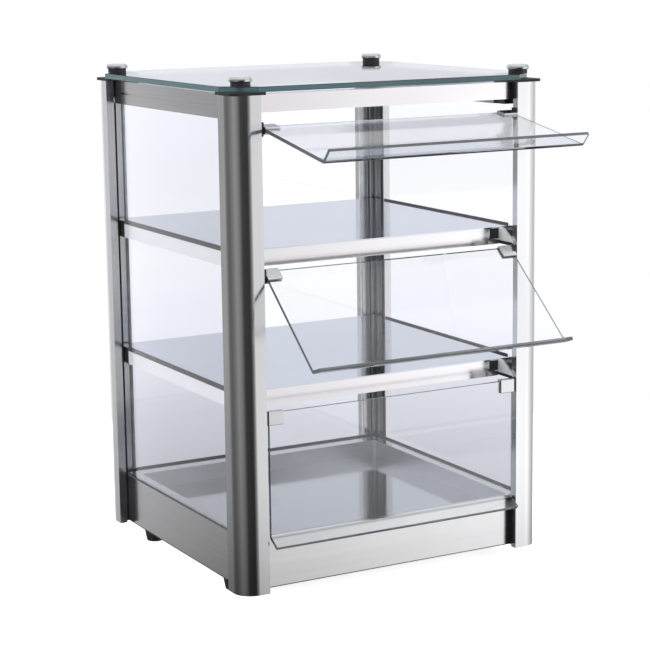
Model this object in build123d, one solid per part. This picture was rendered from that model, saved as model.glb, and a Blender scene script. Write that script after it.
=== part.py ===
from build123d import *
import math
import os

# Countertop display case: four extruded corner posts carry a base, two shelves
# and a glass top. Three clear flap doors hang in the front, one per tier.
# Millimetres. X to the right, Y to the back, Z up, feet standing on Z = 0.
# The case is modelled about its own middle and then set back by CASE_BACK, which
# puts the origin under the middle of the whole object, open doors included.

# Overall frame
WIDTH = 400.0          # over the corner posts, left to right
DEPTH = 380.0          # over the corner posts, front to back
FOOT_H = 14.0          # gap under the posts
POST_H = 555.0         # length of a corner post
LEG = 35.0             # length of each leg of the L-shaped post section
LEG_T = 9.5            # thickness of a leg
POST_R = 22.0          # outside corner radius of a post
RECESS = 12.0          # panels, top rails and glass lie this far in from the outside
CASE_BACK = 71.5

# Heights above the bottom of the posts
BASE_BOT = 2.5
BASE_TOP = 61.5
SHELF_TOPS = {"lower": 226.0, "upper": 384.5}
SHELF_H = 20.0
TOP_SIDE_BOT = 528.0
TOP_FRONT_BOT = 535.5

# Glass top
PAD_T = 3.0
PAD_LEG = 41.0
PAD_R = 8.0
TOP_T = 6.0
TOP_CORNER = 33.0      # 45 degree corner cut
NUT_INSET = 21.0
WASHER_T = 5.0
NUT_H = 5.5
NUT_R = 13.0
NUT_ROUND = 3.4
STUD_R = 4.0

# Top rails
TOP_RAIL_W = 21.0
SIDE_END = 137.5       # half length of the side panels and side top rails
FRONT_END = 159.5      # half length of the front panels and front top rails
GROOVE_UP = 11.5
GROOVE = 2.0

# Fixed glazing
GLASS_T = 4.0
GLASS_EDGE = 20.0      # pane edge to the outside of the case
SEAL_L = 2.5           # sealing bead between a pane and the end of a leg
BED_T = 2.0            # strip that a pane stands on

# Shelves
SHELF_GAP = 0.2        # shelf parts to the glass
BLOCK_X = 50.0         # inner side of the front corner blocks
BLOCK_Y = 46.0         # end of the side rails, from the outside
RAIL_W = 21.0
RAIL_WALL = 2.0
FRONT_SETBACK = 35.0   # the shelf front sits behind the doors
STRIP_H = 6.5          # lower strip of the front rail
STRIP_END = 162.3
LINE = 0.8             # grooves along the front rail
SHEET_T = 1.5
GASKET_W = 1.5
GASKET_H = 3.5         # below the top of the shelf
GASKET_UP = 2.0        # above the top of the shelf

# Base
TRAY_IN_X = 168.0
TRAY_FRONT = 166.0
TRAY_BACK = 150.0
TRAY_DEEP = 20.5
PANEL_LIP = 8.0

# Feet
FOOT_X = 172.0
FOOT_Y = 112.0
FOOT_TOP_R = 13.0
FOOT_BOT_R = 10.0

# Doors
DOOR_HALF = 161.0
DOOR_T = 4.0
DOOR_UP = 6.0          # sheet above the hinge axis
DOOR_DROP = 137.0      # hinge axis down to the bend
DOOR_LIP = 17.0
LIP_ANGLE = 59.0
HINGE_INSET = 4.5      # axis behind the front of the posts
HINGE_DROP = 26.0      # hinge axis below the top of a shelf
HINGE_Z = {"top": 518.0, "middle": SHELF_TOPS["upper"] - HINGE_DROP, "bottom": SHELF_TOPS["lower"] - HINGE_DROP}
DOOR_OPEN = {"top": 80.0, "middle": 50.0, "bottom": 0.0}
PIN_R = 2.5
PIN_GAP = 0.05
PIN_REACH = 9.0        # pin beyond the bearing plate, into the post
PLATE_T = 2.5
PLATE_BACK = 4.5       # bearing plate behind the axis
CLIP_W = 18.0
CLIP_H = 8.0           # half height about the axis
CLIP_T = 8.0
SIDE_GAP = 0.2

HX = WIDTH / 2
HY = DEPTH / 2
POST_TOP = FOOT_H + POST_H
HINGE_Y = -HY + HINGE_INSET
CORNERS = [(sx, sy) for sx in (-1, 1) for sy in (-1, 1)]
SIDES = [(-1, "left"), (1, "right")]
ENDS = [(-1, "front"), (1, "back")]

nodes = {}


def box(x0, x1, y0, y1, z0, z1):
    """A box between opposite corners, in any order."""
    size = (abs(x1 - x0), abs(y1 - y0), abs(z1 - z0))
    centre = ((x0 + x1) / 2, (y0 + y1) / 2, (z0 + z1) / 2)
    return Pos(*centre) * Box(*size)


def corner_box(sx, sy, a0, a1, b0, b1, z0, z1):
    """A box given by its distances from the outside faces at one corner."""
    return box(sx * (HX - a0), sx * (HX - a1), sy * (HY - b0), sy * (HY - b1), z0, z1)


def prism_x(points, x0, x1):
    """A polygon in the YZ plane, extruded along X."""
    face = make_face(Polyline(*[(0, y, z) for y, z in points], close=True))
    return Pos(x0, 0, 0) * extrude(face, amount=x1 - x0, dir=(1, 0, 0))


def one(shape):
    """The single solid of a shape."""
    return shape.solids()[0]


def rounded_corner(sx, sy, leg, z0, z1, radius):
    """A square plate at a corner with its outside edge rounded."""
    body = corner_box(sx, sy, 0, leg, 0, leg, z0, z1)
    edge = body.edges().filter_by(Axis.Z).sort_by(lambda e: -abs(e.center().X) - abs(e.center().Y))[0]
    return fillet(edge, radius)


def post(sx, sy):
    """Extruded L-section post; a front post has blind bores for the hinge pins."""
    body = rounded_corner(sx, sy, LEG, FOOT_H, POST_TOP, POST_R)
    body -= corner_box(sx, sy, LEG_T, LEG + 1, LEG_T, LEG + 1, FOOT_H - 1, POST_TOP + 1)
    if sy < 0:
        for level in HINGE_Z.values():
            hole = Rot(0, 90, 0) * Cylinder(PIN_R + PIN_GAP, 2 * (PIN_REACH + 1))
            body -= Pos(sx * (HX - LEG), HINGE_Y, FOOT_H + level) * hole
    return one(body)


def posts():
    for sx, side in SIDES:
        for sy, end in ENDS:
            nodes[f"post_{end}_{side}"] = post(sx, sy)


def cap_nut():
    """Flat-topped button nut with a blind bore, standing on Z = 0."""
    nut = Cylinder(NUT_R, NUT_H)
    nut = fillet(nut.edges().group_by(Axis.Z)[-1], NUT_ROUND)
    nut = Pos(0, 0, NUT_H / 2) * fillet(nut.edges().group_by(Axis.Z)[0], 0.8)
    return nut - Cylinder(STUD_R, 2 * (NUT_H - 2.5))


def glass_top():
    """Top plate on four pads, held by a stud, a neck washer and a cap nut at each corner."""
    low = POST_TOP + PAD_T
    high = low + TOP_T
    plate = chamfer(box(-HX, HX, -HY, HY, low, high).edges().filter_by(Axis.Z), TOP_CORNER)
    plate = chamfer(plate.edges().filter_by(lambda e: abs(e.center().Z - high) < 0.01), 0.6)
    pads = []
    washers = []
    nuts = []
    studs = []
    base = high + WASHER_T
    stud_low = POST_TOP - 14
    stud_high = base + NUT_H - 2.5
    for sx, sy in CORNERS:
        x = sx * (HX - NUT_INSET)
        y = sy * (HY - NUT_INSET)
        hole = Pos(x, y, high) * Cylinder(STUD_R, 60)
        plate -= hole
        pads.append(one(rounded_corner(sx, sy, PAD_LEG, POST_TOP, low, PAD_R) - hole))
        neck = Pos(x, y, high + WASHER_T / 2) * Cylinder(NUT_R - 2, WASHER_T)
        washers.append(one(neck - hole))
        nuts.append(one(Pos(x, y, base) * cap_nut()))
        studs.append(one(Pos(x, y, (stud_low + stud_high) / 2) * Cylinder(STUD_R, stud_high - stud_low)))
    nodes["top_glass"] = one(plate)
    nodes["top_glass_pads"] = pads
    nodes["top_glass_washers"] = washers
    nodes["top_glass_cap_nuts"] = nuts
    nodes["top_glass_studs"] = studs


def top_rails():
    """Box rails under the glass top; the side rails are deeper and have a long groove."""
    near = RECESS
    far = RECESS + TOP_RAIL_W
    for sy, end in ENDS:
        z0 = FOOT_H + TOP_FRONT_BOT
        rail = box(-FRONT_END, FRONT_END, sy * (HY - near), sy * (HY - far), z0, POST_TOP)
        rail -= box(-FRONT_END - 1, FRONT_END + 1, sy * (HY - near - 2), sy * (HY - far + 2),
                    z0 + 2, POST_TOP - 2)
        nodes[f"top_rail_{end}"] = one(rail)
    for sx, side in SIDES:
        z0 = FOOT_H + TOP_SIDE_BOT
        outer = sx * (HX - near)
        rail = box(outer, sx * (HX - far), -SIDE_END, SIDE_END, z0, POST_TOP)
        rail -= box(sx * (HX - near - 2 * GROOVE), sx * (HX - far + 2), -SIDE_END - 1, SIDE_END + 1,
                    z0 + 2, POST_TOP - 2)
        groove = z0 + GROOVE_UP
        rail -= box(outer, sx * (HX - near - GROOVE), -SIDE_END - 1, SIDE_END + 1, groove, groove + GROOVE)
        nodes[f"top_rail_{side}"] = one(rail)


def frame_block(sx, sy, side_z, front_z, depth_a, depth_b):
    """Black connector: a heel in the corner of the post and an arm out to each rail or panel."""
    arm_a = corner_box(sx, sy, RECESS, depth_a, LEG, HY - SIDE_END, *side_z)
    arm_b = corner_box(sx, sy, LEG, HX - FRONT_END, RECESS, depth_b, *front_z)
    heel_a = corner_box(sx, sy, LEG_T, depth_a, LEG_T, LEG, *front_z)
    heel_b = corner_box(sx, sy, LEG_T, LEG, LEG_T, depth_b, *front_z)
    return heel_a + heel_b + arm_a + arm_b


def shelf_block(sx, sy, z0, z1):
    """Shelf connector inside the panes, with a heel that reaches the post past the pane edges."""
    near = RECESS + GLASS_T + SHELF_GAP
    heel = GLASS_EDGE - 0.5
    if sy > 0:
        block = corner_box(sx, sy, near, BLOCK_Y, near, BLOCK_Y, z0, z1)
        return one(block + corner_box(sx, sy, LEG_T, heel, LEG_T, heel, z0, z1))
    block = corner_box(sx, sy, near, LEG, LEG_T, BLOCK_Y, z0, z1)
    return one(block + corner_box(sx, sy, near, BLOCK_X, FRONT_SETBACK, BLOCK_Y, z0 + STRIP_H, z1))


def corner_blocks():
    """Connectors at the top, at the base and at both shelves."""
    top = []
    base = []
    depth = RECESS + 18
    rim = RECESS + PANEL_LIP + 0.5
    front_z = (FOOT_H + TOP_FRONT_BOT, POST_TOP)
    side_z = (FOOT_H + TOP_SIDE_BOT, POST_TOP)
    whole_z = (FOOT_H + BASE_BOT, FOOT_H + BASE_TOP)
    for sx, sy in CORNERS:
        hole = Pos(sx * (HX - NUT_INSET), sy * (HY - NUT_INSET), POST_TOP) * Cylinder(STUD_R, 28)
        top.append(one(frame_block(sx, sy, side_z, front_z, depth, depth) - hole))
        depth_b = HY - TRAY_FRONT - SHEET_T - 1 if sy < 0 else depth
        block = frame_block(sx, sy, whole_z, whole_z, HX - TRAY_IN_X - SHEET_T - 1, depth_b)
        block -= corner_box(sx, sy, rim, HX, rim, HY, whole_z[1] - SHEET_T, whole_z[1] + 1)
        base.append(one(block))
    nodes["corner_blocks_top"] = top
    nodes["corner_blocks_base"] = base
    for name, level in SHELF_TOPS.items():
        z1 = FOOT_H + level
        blocks = [shelf_block(sx, sy, z1 - SHELF_H, z1 - SHEET_T) for sx, sy in CORNERS]
        nodes[f"corner_blocks_{name}_shelf"] = blocks


def shelf_rail_x(sy, setback, z0, z1):
    """Front or back shelf rail, a closed tube across the case."""
    w = RAIL_WALL
    half = HX - BLOCK_X if sy < 0 else HX - BLOCK_Y
    rail = box(-half, half, sy * (HY - setback), sy * (HY - setback - RAIL_W), z0, z1)
    rail -= box(-half + w, half - w, sy * (HY - setback - w), sy * (HY - setback - RAIL_W + w), z0 + w, z1 - w)
    return rail


def front_rail(z0, z1):
    """Front shelf rail: a tube with two lines along its face and a longer strip at the bottom."""
    rail = shelf_rail_x(-1, FRONT_SETBACK, z0, z1)
    face = -HY + FRONT_SETBACK
    split = z0 + STRIP_H
    rail -= box(-HX, HX, face - 1, face + LINE, split, split + 1.2)
    rail += box(-STRIP_END, STRIP_END, face, face + BLOCK_Y - FRONT_SETBACK, z0, split)
    return rail


def shelf_rail_y(sx, z0, z1):
    """Side shelf rail, a closed tube with a notch for the gasket along its outer top edge."""
    w = RAIL_WALL
    near = RECESS + GLASS_T + SHELF_GAP
    end = HY - BLOCK_Y
    rail = box(sx * (HX - near), sx * (HX - near - RAIL_W), -end, end, z0, z1)
    rail -= box(sx * (HX - near - 2 * w), sx * (HX - near - RAIL_W + w), -end + w, end - w, z0 + w, z1 - w)
    return rail - gasket_strip(sx, z1, HY)


def gasket_strip(sx, z1, half):
    """Strip between a shelf and a side pane; z1 is the underside of the shelf sheet."""
    near = RECESS + GLASS_T + SHELF_GAP
    top = z1 + SHEET_T
    return box(sx * (HX - near), sx * (HX - near - GASKET_W), -half, half, top - GASKET_H, top + GASKET_UP)


def shelves():
    """Four rails, one polished sheet and two edge gaskets per shelf."""
    near = RECESS + GLASS_T + SHELF_GAP
    for name, level in SHELF_TOPS.items():
        z1 = FOOT_H + level - SHEET_T
        z0 = FOOT_H + level - SHELF_H
        nodes[f"{name}_shelf_rail_front"] = one(front_rail(z0, z1))
        nodes[f"{name}_shelf_rail_back"] = one(shelf_rail_x(1, near, z0, z1))
        for sx, side in SIDES:
            nodes[f"{name}_shelf_rail_{side}"] = one(shelf_rail_y(sx, z0, z1))
        sheet = box(-HX + near, HX - near, -HY + FRONT_SETBACK, HY - near, z1, z1 + SHEET_T)
        for sx in (-1, 1):
            sheet -= gasket_strip(sx, z1, HY - BLOCK_Y)
        nodes[f"{name}_shelf_sheet"] = one(sheet)
        nodes[f"{name}_shelf_gaskets"] = [gasket_strip(sx, z1, HY - BLOCK_Y) for sx in (-1, 1)]


def glazing():
    """Fixed panes at both sides and at the back, with edge beads and the strips they stand on."""
    z0 = FOOT_H + BASE_TOP
    side_top = FOOT_H + TOP_SIDE_BOT
    back_top = FOOT_H + TOP_FRONT_BOT
    pane = (RECESS, RECESS + GLASS_T)
    strip = (LEG_T, RECESS)
    run = (LEG - SEAL_L, LEG)
    end_x = HX - GLASS_EDGE
    end_y = HY - GLASS_EDGE
    bed_x = end_x - LEG + GLASS_EDGE
    bed_y = end_y - LEG + GLASS_EDGE
    for sx, side in SIDES:
        near = sx * (HX - pane[0])
        far = sx * (HX - pane[1])
        nodes[f"side_glass_{side}"] = box(near, far, -end_y, end_y, z0 + BED_T, side_top - 0.3)
        strips = [corner_box(sx, sy, *strip, *run, z0, side_top) for sy in (-1, 1)]
        nodes[f"side_seals_{side}"] = strips
        nodes[f"side_glass_bed_{side}"] = box(near, far, -bed_y, bed_y, z0, z0 + BED_T)
    near = HY - pane[0]
    far = HY - pane[1]
    nodes["back_glass"] = box(-end_x, end_x, near, far, z0 + BED_T, back_top - 0.3)
    nodes["back_seals"] = [corner_box(sx, 1, *run, *strip, z0, back_top) for sx in (-1, 1)]
    nodes["back_glass_bed"] = box(-bed_x, bed_x, near, far, z0, z0 + BED_T)


def base():
    """Four folded panels, a recessed polished tray, a floor plate and four feet."""
    z0 = FOOT_H + BASE_BOT
    z1 = FOOT_H + BASE_TOP
    out = RECESS
    t = SHEET_T
    for sy, end in ENDS:
        panel = box(-FRONT_END, FRONT_END, sy * (HY - out), sy * (HY - out - t), z0, z1)
        panel += box(-FRONT_END, FRONT_END, sy * (HY - out), sy * (HY - out - PANEL_LIP), z1 - t, z1)
        edge = [e for e in panel.edges().filter_by(Axis.X)
                if abs(abs(e.center().Y) - (HY - out)) < 0.01 and abs(e.center().Z - z1) < 0.01]
        nodes[f"base_panel_{end}"] = one(fillet(edge, 1.2))
    for sx, side in SIDES:
        panel = box(sx * (HX - out), sx * (HX - out - t), -SIDE_END, SIDE_END, z0, z1)
        panel += box(sx * (HX - out), sx * (HX - out - PANEL_LIP), -SIDE_END, SIDE_END, z1 - t, z1)
        nodes[f"base_panel_{side}"] = one(panel)
    lip = out + PANEL_LIP + 0.8
    fx = HX - lip
    fy = HY - lip
    tray = box(-fx, fx, -fy, fy, z1 - t, z1)
    tray += box(-TRAY_IN_X - t, TRAY_IN_X + t, -TRAY_FRONT - t, TRAY_BACK + t, z1 - TRAY_DEEP - t, z1)
    hollow = box(-TRAY_IN_X, TRAY_IN_X, -TRAY_FRONT, TRAY_BACK, z1 - TRAY_DEEP, z1 + 1)
    hollow = fillet(hollow.edges().filter_by(Axis.Z), 4)
    nodes["base_tray"] = one(tray - hollow)
    plate = box(-HX + out + t, HX - out - t, -SIDE_END + 0.5, SIDE_END - 0.5, z0, z0 + t)
    plate += box(-FRONT_END + 0.5, FRONT_END - 0.5, -HY + out + t, HY - out - t, z0, z0 + t)
    for sx, sy in CORNERS:
        plate -= corner_box(sx, sy, 0, HX - FRONT_END + 0.5, 0, HY - SIDE_END + 0.5, z0 - 1, z0 + t + 1)
    nodes["base_floor_plate"] = one(plate)
    feet = []
    for sx, sy in CORNERS:
        foot = Cone(FOOT_BOT_R, FOOT_TOP_R, z0)
        foot = Pos(sx * FOOT_X, sy * FOOT_Y, z0 / 2) * fillet(foot.edges().sort_by(Axis.Z)[:1], 1.0)
        feet.append(one(foot))
    nodes["feet"] = feet


def door_sheet():
    """Closed door sheet about its hinge axis: a drop panel with an outward lip."""
    h = DOOR_T / 2
    lip = math.radians(LIP_ANGLE)
    dy = -math.sin(lip)
    dz = -math.cos(lip)
    ny = -math.cos(lip)
    nz = math.sin(lip)
    mitre = h * math.tan(lip / 2)
    tip_y = DOOR_LIP * dy
    tip_z = -DOOR_DROP + DOOR_LIP * dz
    points = [(-h, DOOR_UP), (h, DOOR_UP), (h, -DOOR_DROP - mitre), (tip_y - h * ny, tip_z - h * nz),
              (tip_y + h * ny, tip_z + h * nz), (-h, -DOOR_DROP + mitre)]
    sheet = prism_x(points, -DOOR_HALF, DOOR_HALF)
    bends = sheet.edges().filter_by(Axis.X)
    outside = [e for e in bends if abs(e.center().Z + DOOR_DROP + mitre) < 0.01]
    sheet = fillet(outside, 6.0)
    inside = [e for e in sheet.edges().filter_by(Axis.X) if abs(e.center().Z + DOOR_DROP - mitre) < 0.01]
    return fillet(inside, 2.0)


def clip(sx):
    """Hinge clip over a top corner of the sheet, with its pin."""
    x0 = HX - LEG - PLATE_T - SIDE_GAP
    body = box(sx * (x0 - CLIP_W), sx * x0, -CLIP_T / 2, CLIP_T / 2, -CLIP_H, CLIP_H)
    body = fillet(body.edges().filter_by(Axis.X), 1.0)
    body -= box(-DOOR_HALF, DOOR_HALF, -DOOR_T / 2, DOOR_T / 2, -CLIP_H - 1, DOOR_UP)
    end = HX - LEG + PIN_REACH - 1
    pin = Rot(0, 90, 0) * Cylinder(PIN_R, end - x0 + 0.5)
    return one(body + Pos(sx * (x0 - 0.5 + end) / 2, 0, 0) * pin)


def hinge_plate(sx):
    """Bearing plate between a clip and its post."""
    x1 = HX - LEG
    plate = box(sx * (x1 - PLATE_T), sx * x1, -HINGE_INSET, PLATE_BACK, -CLIP_H, CLIP_H)
    low_edges = plate.edges().filter_by(Axis.X).group_by(Axis.Z)[0]
    plate = fillet(low_edges, 3.5)
    return one(plate - Rot(0, 90, 0) * Cylinder(PIN_R + PIN_GAP, 3 * WIDTH))


def hinge_gusset(sx):
    """Sloping plate from the front of a shelf's corner block to the post above a hinge."""
    block_y = FRONT_SETBACK - HINGE_INSET
    low = CLIP_H + 2.5
    points = [(block_y, low), (0.5, low), (1.5, low + 3), (block_y - 9, HINGE_DROP), (block_y, HINGE_DROP)]
    x1 = HX - LEG
    return one(prism_x(points, min(sx * x1, sx * (x1 - PLATE_T)), max(sx * x1, sx * (x1 - PLATE_T))))


def doors():
    """Three flap doors in their pose, with the fixed hinge parts on the posts."""
    plates = []
    gussets = []
    for name, level in HINGE_Z.items():
        axis = Pos(0, HINGE_Y, FOOT_H + level)
        place = axis * Rot(-DOOR_OPEN[name], 0, 0)
        nodes[f"door_{name}_sheet"] = one(place * door_sheet())
        nodes[f"door_{name}_clips"] = [one(place * clip(sx)) for sx in (-1, 1)]
        plates += [axis * hinge_plate(sx) for sx in (-1, 1)]
        if name != "top":
            gussets += [axis * hinge_gusset(sx) for sx in (-1, 1)]
    nodes["hinge_plates"] = plates
    nodes["hinge_gussets"] = gussets


def export_all():
    """Write one file per node; a node of several pieces is written as a group."""
    os.makedirs("parts", exist_ok=True)
    set_back = Pos(0, CASE_BACK, 0)
    for name, shape in nodes.items():
        if isinstance(shape, list):
            result = Compound(children=[set_back * piece for piece in shape])
        else:
            result = set_back * shape
        export_step(result, f"parts/{name}.step")


posts()
glass_top()
top_rails()
corner_blocks()
shelves()
glazing()
base()
doors()
export_all()
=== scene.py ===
import math
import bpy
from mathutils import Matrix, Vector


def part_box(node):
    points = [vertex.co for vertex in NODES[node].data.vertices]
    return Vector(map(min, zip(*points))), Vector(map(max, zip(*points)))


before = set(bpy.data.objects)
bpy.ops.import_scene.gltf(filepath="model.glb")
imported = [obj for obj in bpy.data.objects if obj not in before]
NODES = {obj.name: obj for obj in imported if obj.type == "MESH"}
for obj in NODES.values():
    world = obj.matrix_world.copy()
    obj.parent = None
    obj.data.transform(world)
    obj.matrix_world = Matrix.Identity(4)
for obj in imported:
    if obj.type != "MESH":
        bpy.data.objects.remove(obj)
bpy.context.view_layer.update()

from fnmatch import fnmatch

import bmesh
import bpy
from mathutils import Matrix, Vector

# Lengths are in metres and angles in degrees, apart from the lens and the sensor, in millimetres.

# Camera: where it stands beside the case, which way it looks, and its lens.
CAMERA_AT = (-1.1121, -1.9858, 0.7117)
CAMERA_YAW = 28.671
CAMERA_PITCH = 10.63
CAMERA_ROLL = -0.758
CAMERA_CLIP = (0.05, 60.0)
LENS_MM = 108.25
SENSOR_MM = 36.0

# How far each door stands open at rest, and how far its lower edge is bent out as a pull.
DOORS = {"top": 80.0, "middle": 50.0, "bottom": 0.0}
PULL_BEND = 59.0

# Painted shade: the base panels are painted dark grey along the fold at their bottom, where shade falls.
FOLD_SHADE_H = 0.0012
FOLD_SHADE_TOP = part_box("base_panel_front")[0].z + FOLD_SHADE_H

# The floor lies just under the feet. The glow, seen only by the camera, adds to its own shading.
FLOOR_RADIUS = 0.75
FLOOR_DROP = 0.0004
FLOOR_GLOW = 0.88

# Colours, in linear light. The two tints are those of the lower and the upper walls.
WHITE = (1.0, 1.0, 1.0)
LOWER_TINT = (1.0, 1.0, 1.02)
UPPER_TINT = (0.935, 0.965, 1.03)
# Colour of the painted shade along the bottom fold of the base panels.
FOLD_SHADE_GREY = (0.16, 0.16, 0.16)
CLEAR_GLASS = (0.965, 0.968, 0.98)
GLASS_EDGE = (0.42, 0.475, 0.475)
TINTED_GLASS = (0.86, 0.915, 0.965)
TINTED_EDGE = (0.095, 0.18, 0.19)
CLEAR_ACRYLIC = (0.945, 0.95, 0.96)
ACRYLIC_EDGE = (0.16, 0.17, 0.18)

GLASS_IOR = 1.45
ACRYLIC_IOR = 1.49
PLASTIC_IOR = 1.5

# Most of a noise texture's values lie between these two.
NOISE_LOW = 0.3
NOISE_HIGH = 0.7

# Brushed metal's colour follows fine streaks by this share, and broad ones by the rest.
FINE_SHARE = 0.55
# Roughness that dust and scuffs add to a clear sheet.
MARK_ROUGH = 0.012

# Least cosine, between a face's normal and a direction, at which the face counts as looking that way.
SHEET_COSINE = 0.6
TRAY_COSINE = 0.7
LIP_COSINE = 0.97

# Brightness of the studio walls round the case: 0 is straight in front of it, 0.25 to the left,
# 0.5 behind and 0.75 to the right. The bands scale it by height, below the horizon.
WALLS = [(0.0, 0.04), (0.095, 0.06), (0.15, 0.27), (0.205, 0.36), (0.26, 0.23), (0.32, 0.15),
         (0.375, 0.19), (0.400, 0.34), (0.412, 0.46), (0.419, 0.46), (0.427, 0.24), (0.432, 0.38),
         (0.439, 1.05), (0.60, 0.92), (0.68, 0.75), (0.75, 0.55), (0.80, 0.35), (0.86, 0.15),
         (0.985, 0.05)]
WALL_BANDS = [(-0.33, 0.26), (-0.30, 0.48), (-0.28, 0.74), (-0.2, 0.92), (-0.1, 1.0), (0.0, 1.0)]
# The same walls above the horizon.
UPPER_WALLS = [(0.0, 0.55), (0.2, 0.50), (0.36, 0.65), (0.42, 0.95), (0.60, 0.90), (0.75, 0.65),
               (0.86, 0.35), (0.97, 0.50)]
# The large bright area at the front right, added to the walls.
KEY = [(0.72, 0.0), (0.80, 0.75), (0.86, 1.45), (0.906, 1.45), (0.926, 0.86), (0.941, 0.86),
       (0.963, 0.13), (0.985, 0.0)]
KEY_BANDS = [(-0.33, 0.38), (-0.30, 0.62), (-0.28, 0.90), (-0.24, 0.98), (-0.2, 0.80), (-0.1, 0.90),
             (0.0, 0.65), (0.08, 0.45), (0.3, 0.35)]
# The backdrop by height, as it shows through the glass.
BACKDROP = [(-0.60, (0.86, 0.87, 0.89)), (-0.34, (0.52, 0.54, 0.58)), (-0.30, (0.50, 0.52, 0.57)),
            (-0.25, (0.62, 0.64, 0.69)), (-0.22, (0.78, 0.80, 0.87)), (-0.185, (1.06, 1.07, 1.17)),
            (-0.15, (1.12, 1.12, 1.16)), (-0.10, (1.06, 1.07, 1.14)), (-0.08, (1.10, 1.11, 1.18)),
            (0.6, (1.1, 1.1, 1.1))]

# Heights in the studio are sines of the angle above the horizon. The bands lie between this one
# and 1 more. The walls give way to the upper ones, and those to a white ceiling, over these.
BAND_START = -0.4
UPPER_FROM = (0.0, 0.08)
CEILING_FROM = (0.45, 0.75)

# Area lamps: name, place, target, side of the square, and watts.
CASE_MIDDLE = (0.0, 0.07, 0.3)
LAMPS = [("Overhead", (0.0, 0.1, 2.4), CASE_MIDDLE, 2.0, 16.0),
         ("RightFront", (1.9, -1.9, 1.3), (0.0, 0.0, 0.2), 1.2, 40.0),
         ("LeftFill", (-2.0, 0.3, 0.8), CASE_MIDDLE, 1.0, 34.0)]


# ---------------------------------------------------------------- node helpers

def lighter(colour, gain, lift=0.0):
    return tuple(c * gain + lift for c in colour)


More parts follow.
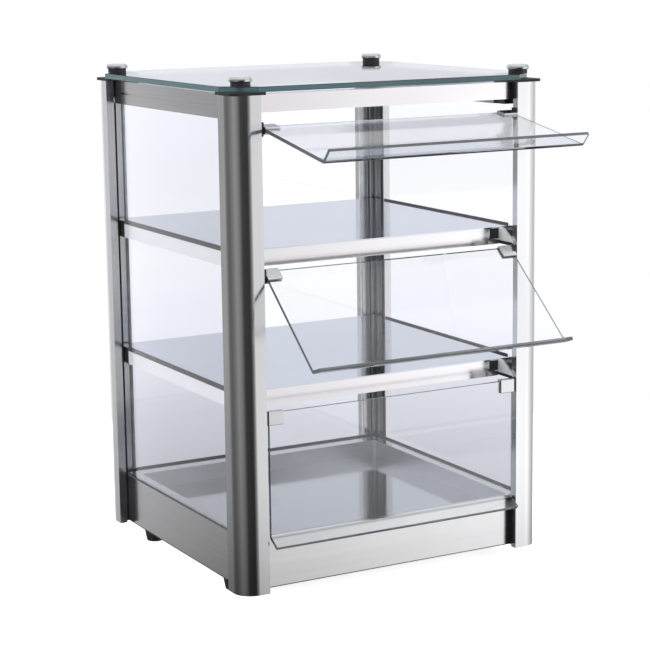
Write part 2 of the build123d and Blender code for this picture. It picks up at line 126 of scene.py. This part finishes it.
class Tree:
    """The node tree of a material or a world, with short calls for the nodes used here.

    A value given to a call is another node's output, a number or a colour.
    """

    def __init__(self, owner, output="ShaderNodeOutputMaterial"):
        owner.use_nodes = True
        self.owner = owner
        self.tree = owner.node_tree
        self.tree.nodes.clear()
        self.output = self.add(output)

    def add(self, kind, **settings):
        node = self.tree.nodes.new(kind)
        for key, value in settings.items():
            setattr(node, key, value)
        return node

    def feed(self, socket, value):
        """Links the socket to another node's output, or sets it to a number, vector or colour."""
        if isinstance(value, bpy.types.NodeSocket):
            self.tree.links.new(value, socket)
        elif socket.type == "RGBA":
            socket.default_value = (*value, 1.0)
        else:
            socket.default_value = value

    def finish(self, shader):
        """Makes the shader the surface, and returns the material or world."""
        self.feed(self.output.inputs["Surface"], shader)
        return self.owner

    def principled(self, **values):
        """Finishes with a Principled shader; a socket's name has _ for each space."""
        node = self.add("ShaderNodeBsdfPrincipled")
        for key, value in values.items():
            self.feed(node.inputs[key.replace("_", " ")], value)
        return self.finish(node.outputs[0])

    def place(self, scale=(1.0, 1.0, 1.0)):
        """Object coordinates in metres, multiplied by scale along each axis."""
        coords = self.add("ShaderNodeTexCoord")
        mapping = self.add("ShaderNodeMapping")
        self.feed(mapping.inputs["Vector"], coords.outputs["Object"])
        self.feed(mapping.inputs["Scale"], scale)
        return mapping.outputs[0]

    def noise(self, scale, detail=4.0, rough=0.55):
        """Noise with scale grains per metre, one number or one for each axis."""
        node = self.add("ShaderNodeTexNoise")
        each = [scale] * 3 if isinstance(scale, float) else scale
        self.feed(node.inputs["Vector"], self.place(each))
        self.feed(node.inputs["Scale"], 1.0)
        self.feed(node.inputs["Detail"], detail)
        self.feed(node.inputs["Roughness"], rough)
        return node.outputs["Fac"]

    def streaks(self, along, across, lengthwise):
        """Noise drawn out along one axis, with fewer grains per metre lengthwise."""
        scale = [across] * 3
        scale["XYZ".index(along)] = lengthwise
        return self.noise(scale, detail=2.0)

    def axes(self, vector):
        node = self.add("ShaderNodeSeparateXYZ")
        self.feed(node.inputs[0], vector)
        return node.outputs

    def normal(self):
        """The direction that a flat face looks, in the object's axes."""
        geometry = self.add("ShaderNodeNewGeometry")
        turn = self.add("ShaderNodeVectorTransform", vector_type="NORMAL",
                        convert_from="WORLD", convert_to="OBJECT")
        self.feed(turn.inputs[0], geometry.outputs["True Normal"])
        return turn.outputs[0]

    def looks_along(self, normal, direction, cosine):
        """1 where the normal is nearly along the direction, else 0."""
        node = self.add("ShaderNodeVectorMath", operation="DOT_PRODUCT")
        self.feed(node.inputs[0], normal)
        self.feed(node.inputs[1], direction)
        return self.combine("GREATER_THAN", node.outputs["Value"], cosine)

    def looks_either_way(self, normal, axis, cosine):
        """1 where the normal is nearly along the axis, up or down it, else 0."""
        size = self.combine("ABSOLUTE", self.axes(normal)[axis])
        return self.combine("GREATER_THAN", size, cosine)

    def combine(self, operation, *values):
        """A Math node of one to three values."""
        node = self.add("ShaderNodeMath", operation=operation)
        for socket, value in zip(node.inputs, values):
            self.feed(socket, value)
        return node.outputs[0]

    def spread(self, value, low, high, start=NOISE_LOW, end=NOISE_HIGH):
        """Maps a value from start..end to low..high, and holds it there."""
        node = self.add("ShaderNodeMapRange")
        self.feed(node.inputs["Value"], value)
        self.feed(node.inputs["From Min"], start)
        self.feed(node.inputs["From Max"], end)
        self.feed(node.inputs["To Min"], low)
        self.feed(node.inputs["To Max"], high)
        return node.outputs[0]

    def share(self, value, start, end):
        """How far the value has come from start to end, from 0 to 1."""
        return self.spread(value, 0.0, 1.0, start, end)

    def choose(self, mask, off, on):
        """One number where the mask is 0 and another where it is 1."""
        return self.spread(mask, off, on, 0.0, 1.0)

    def mix(self, factor, a, b, blend="MIX"):
        """Colour b over colour a."""
        node = self.add("ShaderNodeMix", data_type="RGBA", blend_type=blend)
        self.feed(node.inputs["Factor"], factor)
        self.feed(node.inputs["A"], a)
        self.feed(node.inputs["B"], b)
        return node.outputs["Result"]

    def ramp(self, value, stops):
        node = self.add("ShaderNodeValToRGB")
        elements = node.color_ramp.elements
        while len(elements) < len(stops):
            elements.new(0.5)
        for element, (place, colour) in zip(elements, stops):
            element.position = place
            element.color = (*colour, 1.0)
        self.feed(node.inputs["Fac"], value)
        return node.outputs["Color"]

    def mottle(self, noise, dark, light, high=NOISE_HIGH):
        """A colour that varies with the noise, from dark to light."""
        return self.ramp(noise, [(NOISE_LOW, dark), (high, light)])

    def bump(self, height, strength, distance):
        node = self.add("ShaderNodeBump")
        self.feed(node.inputs["Height"], height)
        self.feed(node.inputs["Strength"], strength)
        self.feed(node.inputs["Distance"], distance)
        return node.outputs[0]

    def background(self, colour):
        node = self.add("ShaderNodeBackground")
        self.feed(node.inputs["Color"], colour)
        return node.outputs[0]

    def either(self, factor, a, b):
        """Shader a where the factor is 0 and shader b where it is 1."""
        node = self.add("ShaderNodeMixShader")
        for socket, value in zip(node.inputs, (factor, a, b)):
            self.feed(socket, value)
        return node.outputs[0]


def new_material(name):
    return Tree(bpy.data.materials.new(name))


# ---------------------------------------------------------------- materials

def brushed(name, dark, light, along, rough, metal=1.0, fold=None):
    """Satin metal: very fine streaks along one axis, faint smudges and a soft mottled gloss.

    Below the given height, in metres, the bend of the sheet is painted dark grey as shade.
    """
    tree = new_material(name)
    fine = tree.streaks(along, across=1600.0, lengthwise=5.0)
    broad = tree.streaks(along, across=80.0, lengthwise=2.5)
    smudge = tree.noise(9.0, detail=5.0, rough=0.6)
    broad_part = tree.combine("MULTIPLY", broad, 1.0 - FINE_SHARE)
    colour = tree.mottle(tree.combine("MULTIPLY_ADD", fine, FINE_SHARE, broad_part), dark, light)
    if fold is not None:
        # Painted shade: a dark grey strip below the height of the fold.
        below = tree.combine("LESS_THAN", tree.axes(tree.place())["Z"], fold)
        colour = tree.mix(below, colour, FOLD_SHADE_GREY)
    streaked = tree.spread(fine, rough - 0.02, rough + 0.03)
    gloss = tree.combine("ADD", streaked, tree.spread(smudge, 0.0, 0.03))
    relief = tree.bump(fine, strength=0.04, distance=0.00003)
    return tree.principled(Metallic=metal, Base_Color=colour, Roughness=gloss, Normal=relief)


def polished(name, dark, light, rough):
    """Nearly mirror-bright sheet with a faint rolling direction, haze and wiped marks."""
    tree = new_material(name)
    rolling = tree.noise((4.0, 260.0, 60.0), detail=3.0)
    haze = tree.noise(6.0, detail=5.0, rough=0.62)
    colour = tree.mottle(haze, dark, light)
    gloss = tree.combine("ADD", tree.spread(haze, rough, rough + 0.07), tree.spread(rolling, 0.0, 0.03))
    relief = tree.bump(haze, strength=0.05, distance=0.0015)
    return tree.principled(Metallic=1.0, Base_Color=colour, Roughness=gloss, Normal=relief)


def pressed_tray(name, bottom, wall):
    """A pressed tray: polished on the flat, satin on its drawn walls, and its flat painted darker than
    the walls as shade.
    """
    tree = new_material(name)
    flat = tree.looks_along(tree.normal(), (0.0, 0.0, 1.0), TRAY_COSINE)
    haze = tree.noise(6.0, detail=5.0, rough=0.62)
    drawn = tree.noise((40.0, 40.0, 900.0), detail=3.0)
    # Painted shade: the flat faces take the darker bottom colour, the drawn walls the lighter one.
    colour = tree.mix(flat, tree.mottle(drawn, wall, lighter(wall, 1.1)),
                      tree.mottle(haze, bottom, lighter(bottom, 1.13)))
    gloss = tree.combine("ADD", tree.choose(flat, off=0.26, on=0.06), tree.spread(haze, 0.0, 0.07))
    relief = tree.bump(haze, strength=0.05, distance=0.0015)
    return tree.principled(Metallic=1.0, Base_Color=colour, Roughness=gloss, Normal=relief)


def see_through(tree, is_face, marks, face, edge, edge_through, edge_rough, ior):
    """Lets light through a sheet's faces and tints its cut edges; marks is a noise of dust or scuffs."""
    colour = tree.mix(is_face, edge, face)
    marked = tree.spread(marks, 0.0, MARK_ROUGH)
    gloss = tree.combine("ADD", tree.choose(is_face, off=edge_rough, on=0.0), marked)
    through = tree.choose(is_face, off=edge_through, on=1.0)
    return tree.principled(IOR=ior, Base_Color=colour, Roughness=gloss, Transmission_Weight=through)


def glass_pane(name, thin_axis, face=CLEAR_GLASS, edge=GLASS_EDGE, edge_through=0.55):
    """A glass pane: its cut edges show the tint of the depth of the sheet."""
    tree = new_material(name)
    is_face = tree.looks_either_way(tree.normal(), thin_axis, SHEET_COSINE)
    dust = tree.noise(40.0, detail=6.0, rough=0.65)
    return see_through(tree, is_face, dust, face, edge, edge_through, edge_rough=0.25, ior=GLASS_IOR)


def door_sheet(name, tilt):
    """Clear acrylic for a door that stands open by tilt; its edges are its ends, its top and its lip."""
    tree = new_material(name)
    normal = tree.normal()
    up = math.radians(tilt)
    out = math.radians(tilt + PULL_BEND)
    is_end = tree.looks_either_way(normal, "X", SHEET_COSINE)
    is_top = tree.looks_along(normal, (0.0, math.sin(up), math.cos(up)), LIP_COSINE)
    is_lip = tree.looks_along(normal, (0.0, -math.sin(out), -math.cos(out)), LIP_COSINE)
    is_edge = tree.combine("MAXIMUM", is_end, tree.combine("MAXIMUM", is_top, is_lip))
    is_face = tree.combine("SUBTRACT", 1.0, is_edge)
    scuffs = tree.noise(90.0, detail=6.0, rough=0.7)
    return see_through(tree, is_face, scuffs, CLEAR_ACRYLIC, ACRYLIC_EDGE,
                       edge_through=0.5, edge_rough=0.2, ior=ACRYLIC_IOR)


def moulded(name, colour, rough, grain=1400.0):
    """Moulded plastic, rubber or silicone with a fine spark texture and handling marks."""
    tree = new_material(name)
    spark = tree.noise(grain, detail=2.0)
    marks = tree.noise(60.0, detail=5.0, rough=0.6)
    handled = tree.mottle(marks, colour, lighter(colour, 1.9, 0.006), high=0.75)
    gloss = tree.spread(marks, rough - 0.06, rough + 0.1)
    relief = tree.bump(spark, strength=0.25, distance=0.00015)
    return tree.principled(IOR=PLASTIC_IOR, Base_Color=handled, Roughness=gloss, Normal=relief)


def plated(name, dark, light):
    """Chrome plating with a trace of polish marks."""
    tree = new_material(name)
    marks = tree.noise(300.0)
    gloss = tree.spread(marks, 0.06, 0.14)
    return tree.principled(Metallic=1.0, Base_Color=tree.mottle(marks, dark, light), Roughness=gloss)


MATERIALS = {
    "post": brushed("PostMetal", (0.70, 0.70, 0.70), (0.76, 0.76, 0.755), "Z", 0.11),
    # Painted light: the back posts take a lighter copy of the post steel.
    "post_back": brushed("BackPostMetalLit", (0.74, 0.74, 0.745), (0.80, 0.80, 0.80), "Z", 0.20),
    "rail_x": brushed("RailSteelX", (0.84, 0.82, 0.825), (0.90, 0.88, 0.885), "X", 0.16),
    # Painted shade: the side top rails take a darker copy of the rail steel.
    "top_rail_y_shaded": brushed("TopRailSteelYShaded", (0.52, 0.52, 0.525), (0.60, 0.60, 0.605), "Y", 0.16),
    # Painted light: the shelf side rails take a lighter, bluish and partly matt copy of the rail steel,
    # so that they look bright through the side glass.
    "rail_y": brushed("RailSteelY", (0.80, 0.80, 0.84), (0.87, 0.87, 0.91), "Y", 0.3, metal=0.35),
    # The front and back panels carry the painted shade along their bottom fold.
    "panel_x": brushed("PanelSteelX", (0.80, 0.80, 0.795), (0.87, 0.87, 0.865), "X", 0.17, fold=FOLD_SHADE_TOP),
    # Painted shade: the side panels take a darker copy of the panel steel, and the painted shade along
    # their bottom fold.
    "panel_y_shaded": brushed("PanelSteelYShaded", (0.70, 0.70, 0.70), (0.77, 0.77, 0.77), "Y", 0.17, fold=FOLD_SHADE_TOP),
    "gusset": brushed("GussetSteel", (0.74, 0.74, 0.74), (0.82, 0.82, 0.82), "Z", 0.5, metal=0.2),
    "clip": brushed("ClipMetal", (0.70, 0.70, 0.71), (0.80, 0.80, 0.80), "X", 0.22),
    "mirror": polished("PolishedSheet", (0.66, 0.68, 0.75), (0.72, 0.74, 0.81), 0.05),
    "tray": pressed_tray("TraySheetShadedFlat", (0.43, 0.44, 0.46), (0.76, 0.765, 0.78)),
    "side_glass": glass_pane("SideGlass", "X"),
    "back_glass": glass_pane("BackGlass", "Y"),
    "top_glass": glass_pane("TopGlass", "Z", TINTED_GLASS, TINTED_EDGE, edge_through=0.5),
    "black": moulded("BlackPlastic", (0.010, 0.010, 0.011), 0.42),
    "rubber": moulded("BlackRubber", (0.009, 0.009, 0.009), 0.6, grain=900.0),
    "gasket": moulded("GreyRubber", (0.05, 0.05, 0.052), 0.55, grain=900.0),
    "silicone": moulded("GreySilicone", (0.42, 0.43, 0.44), 0.4),
    "chrome": plated("ChromePlate", (0.55, 0.55, 0.56), (0.68, 0.68, 0.69)),
}
for door, opening in DOORS.items():
    MATERIALS[f"{door}_door"] = door_sheet(f"Acrylic_{door}", opening)

# Which nodes take which material. A node takes the first one with a pattern that fits its name.
FINISHES = [
    ("post_back", ["post_back_*"]),
    ("post", ["post_*"]),
    ("rail_x", ["*_rail_front", "*_rail_back"]),
    ("top_rail_y_shaded", ["top_rail_*"]),
    ("rail_y", ["*_rail_*"]),
    ("panel_x", ["base_panel_front", "base_panel_back", "base_floor_plate"]),
    ("panel_y_shaded", ["base_panel_*"]),
    ("mirror", ["*_shelf_sheet"]),
    ("tray", ["base_tray"]),
    ("silicone", ["back_seals"]),
    ("gasket", ["*_bed*", "*_gaskets"]),
    ("rubber", ["feet", "top_glass_pads", "side_seals_*"]),
    ("side_glass", ["side_glass_*"]),
    ("back_glass", ["back_glass"]),
    ("top_glass", ["top_glass"]),
    ("black", ["corner_blocks_*", "hinge_plates", "top_glass_washers"]),
    ("chrome", ["top_glass_cap_nuts", "top_glass_studs"]),
    ("gusset", ["hinge_gussets"]),
    ("clip", ["door_*_clips"]),
]
FINISHES += [(f"{door}_door", [f"door_{door}_sheet"]) for door in DOORS]
CLEAR_SHEETS = ["door_*_sheet", "side_glass_left", "side_glass_right", "back_glass", "top_glass"]


def fits(name, patterns):
    return any(fnmatch(name, pattern) for pattern in patterns)


def paint(node, material):
    if not node.material_slots:
        node.data.materials.append(material)
    for slot in node.material_slots:
        slot.link = "OBJECT"
        slot.material = material


def paint_nodes():
    for name, node in NODES.items():
        key = next(key for key, patterns in FINISHES if fits(name, patterns))
        paint(node, MATERIALS[key])


def let_light_through():
    """Clear sheets cast no shadow, as thin glass hardly does, so that the shelves are lit."""
    for name, node in NODES.items():
        if fits(name, CLEAR_SHEETS):
            node.visible_shadow = False
            node.visible_diffuse = False


# ---------------------------------------------------------------- studio

def wall_ramp(tree, turn, stops, tint=LOWER_TINT):
    """Brightness round the case, where turn goes once round from 0 to 1."""
    return tree.ramp(turn, [(place, lighter(tint, value)) for place, value in stops])


def band_ramp(tree, rise, stops):
    """Brightness by height, over the low band of directions that the case's faces mirror."""
    place = tree.share(rise, BAND_START, BAND_START + 1.0)
    return tree.ramp(place, [(height - BAND_START, lighter(WHITE, value)) for height, value in stops])


def add_world():
    """A light tent that is plain white to the camera.

    Rays straight through glass see a graded backdrop. Reflections and diffuse light see walls that
    are darker and brighter in places.
    """
    tent = bpy.data.worlds.new("Studio")
    bpy.context.scene.world = tent
    tree = Tree(tent, "ShaderNodeOutputWorld")
    direction = tree.axes(tree.add("ShaderNodeTexCoord").outputs["Generated"])
    rise = direction["Z"]
    turn = tree.share(tree.combine("ARCTAN2", direction["X"], direction["Y"]), -math.pi, math.pi)
    low = tree.mix(1.0, wall_ramp(tree, turn, WALLS), band_ramp(tree, rise, WALL_BANDS), "MULTIPLY")
    walls = tree.mix(tree.share(rise, *UPPER_FROM), low, wall_ramp(tree, turn, UPPER_WALLS, UPPER_TINT))
    key = tree.mix(1.0, wall_ramp(tree, turn, KEY), band_ramp(tree, rise, KEY_BANDS), "MULTIPLY")
    both = tree.mix(1.0, walls, key, "ADD")
    room = tree.background(tree.mix(tree.share(rise, *CEILING_FROM), both, WHITE))
    height = tree.share(rise, -1.0, 1.0)
    backdrop = tree.background(tree.ramp(height, [((z + 1.0) / 2.0, colour) for z, colour in BACKDROP]))
    path = tree.add("ShaderNodeLightPath").outputs
    unreflected = tree.combine("LESS_THAN", path["Glossy Depth"], 0.5)
    through = tree.combine("MULTIPLY", path["Is Transmission Ray"], unreflected)
    seen = tree.either(through, room, backdrop)
    tree.finish(tree.either(path["Is Camera Ray"], seen, tree.background(WHITE)))


def floor_material():
    """Pale and matt; its glow straight to the camera makes it nearly shadowless, as in a light tent."""
    tree = new_material("PaleFloor")
    matt = tree.add("ShaderNodeBsdfDiffuse")
    grain = tree.noise(30.0, detail=3.0)
    tree.feed(matt.inputs["Color"], tree.mottle(grain, (0.80, 0.80, 0.80), (0.84, 0.84, 0.84)))
    glow = tree.add("ShaderNodeEmission")
    path = tree.add("ShaderNodeLightPath").outputs
    tree.feed(glow.inputs["Strength"], tree.choose(path["Is Camera Ray"], off=0.0, on=FLOOR_GLOW))
    both = tree.add("ShaderNodeAddShader")
    for socket, shader in zip(both.inputs, (matt, glow)):
        tree.feed(socket, shader.outputs[0])
    return tree.finish(both.outputs[0])


def add_floor():
    """A round floor under the middle of the case; reflections and rays through glass don't see it."""
    mesh = bpy.data.meshes.new("Floor")
    bm = bmesh.new()
    bmesh.ops.create_circle(bm, cap_ends=True, segments=96, radius=FLOOR_RADIUS)
    bm.to_mesh(mesh)
    bm.free()
    mesh.materials.append(floor_material())
    disc = bpy.data.objects.new("Floor", mesh)
    near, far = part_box("base_floor_plate")
    disc.location = (0.0, (near.y + far.y) / 2.0, -FLOOR_DROP)
    disc.visible_glossy = False
    disc.visible_transmission = False
    bpy.context.scene.collection.objects.link(disc)


def add_lamps():
    """Square area lamps for the matt parts; reflections and rays through glass don't see them."""
    for name, at, target, side, watts in LAMPS:
        light = bpy.data.lights.new(name, "AREA")
        light.shape = "SQUARE"
        light.size = side
        light.energy = watts
        lamp = bpy.data.objects.new(name, light)
        lamp.location = at
        direction = Vector(target) - Vector(at)
        lamp.rotation_euler = direction.to_track_quat("-Z", "Y").to_euler()
        lamp.visible_glossy = False
        lamp.visible_transmission = False
        bpy.context.scene.collection.objects.link(lamp)


def add_camera():
    data = bpy.data.cameras.new("Camera")
    data.sensor_width = SENSOR_MM
    data.lens = LENS_MM
    data.clip_start, data.clip_end = CAMERA_CLIP
    camera = bpy.data.objects.new("Camera", data)
    yaw, pitch, roll = (math.radians(angle) for angle in (CAMERA_YAW, CAMERA_PITCH, CAMERA_ROLL))
    level = math.cos(pitch)
    ahead = Vector((math.sin(yaw) * level, math.cos(yaw) * level, -math.sin(pitch)))
    sideways = Vector((math.cos(yaw), -math.sin(yaw), 0.0))
    right = math.cos(roll) * sideways + math.sin(roll) * sideways.cross(ahead)
    turn = Matrix((right, right.cross(ahead), -ahead)).transposed()
    camera.matrix_world = Matrix.Translation(CAMERA_AT) @ turn.to_4x4()
    bpy.context.scene.collection.objects.link(camera)
    bpy.context.scene.camera = camera


def set_plain_view():
    """Colours go to the picture as they are, with no film curve."""
    view = bpy.context.scene.view_settings
    view.view_transform = "Standard"
    view.look = "None"
    view.exposure = 0.0


paint_nodes()
let_light_through()
add_world()
add_floor()
add_lamps()
add_camera()
set_plain_view()
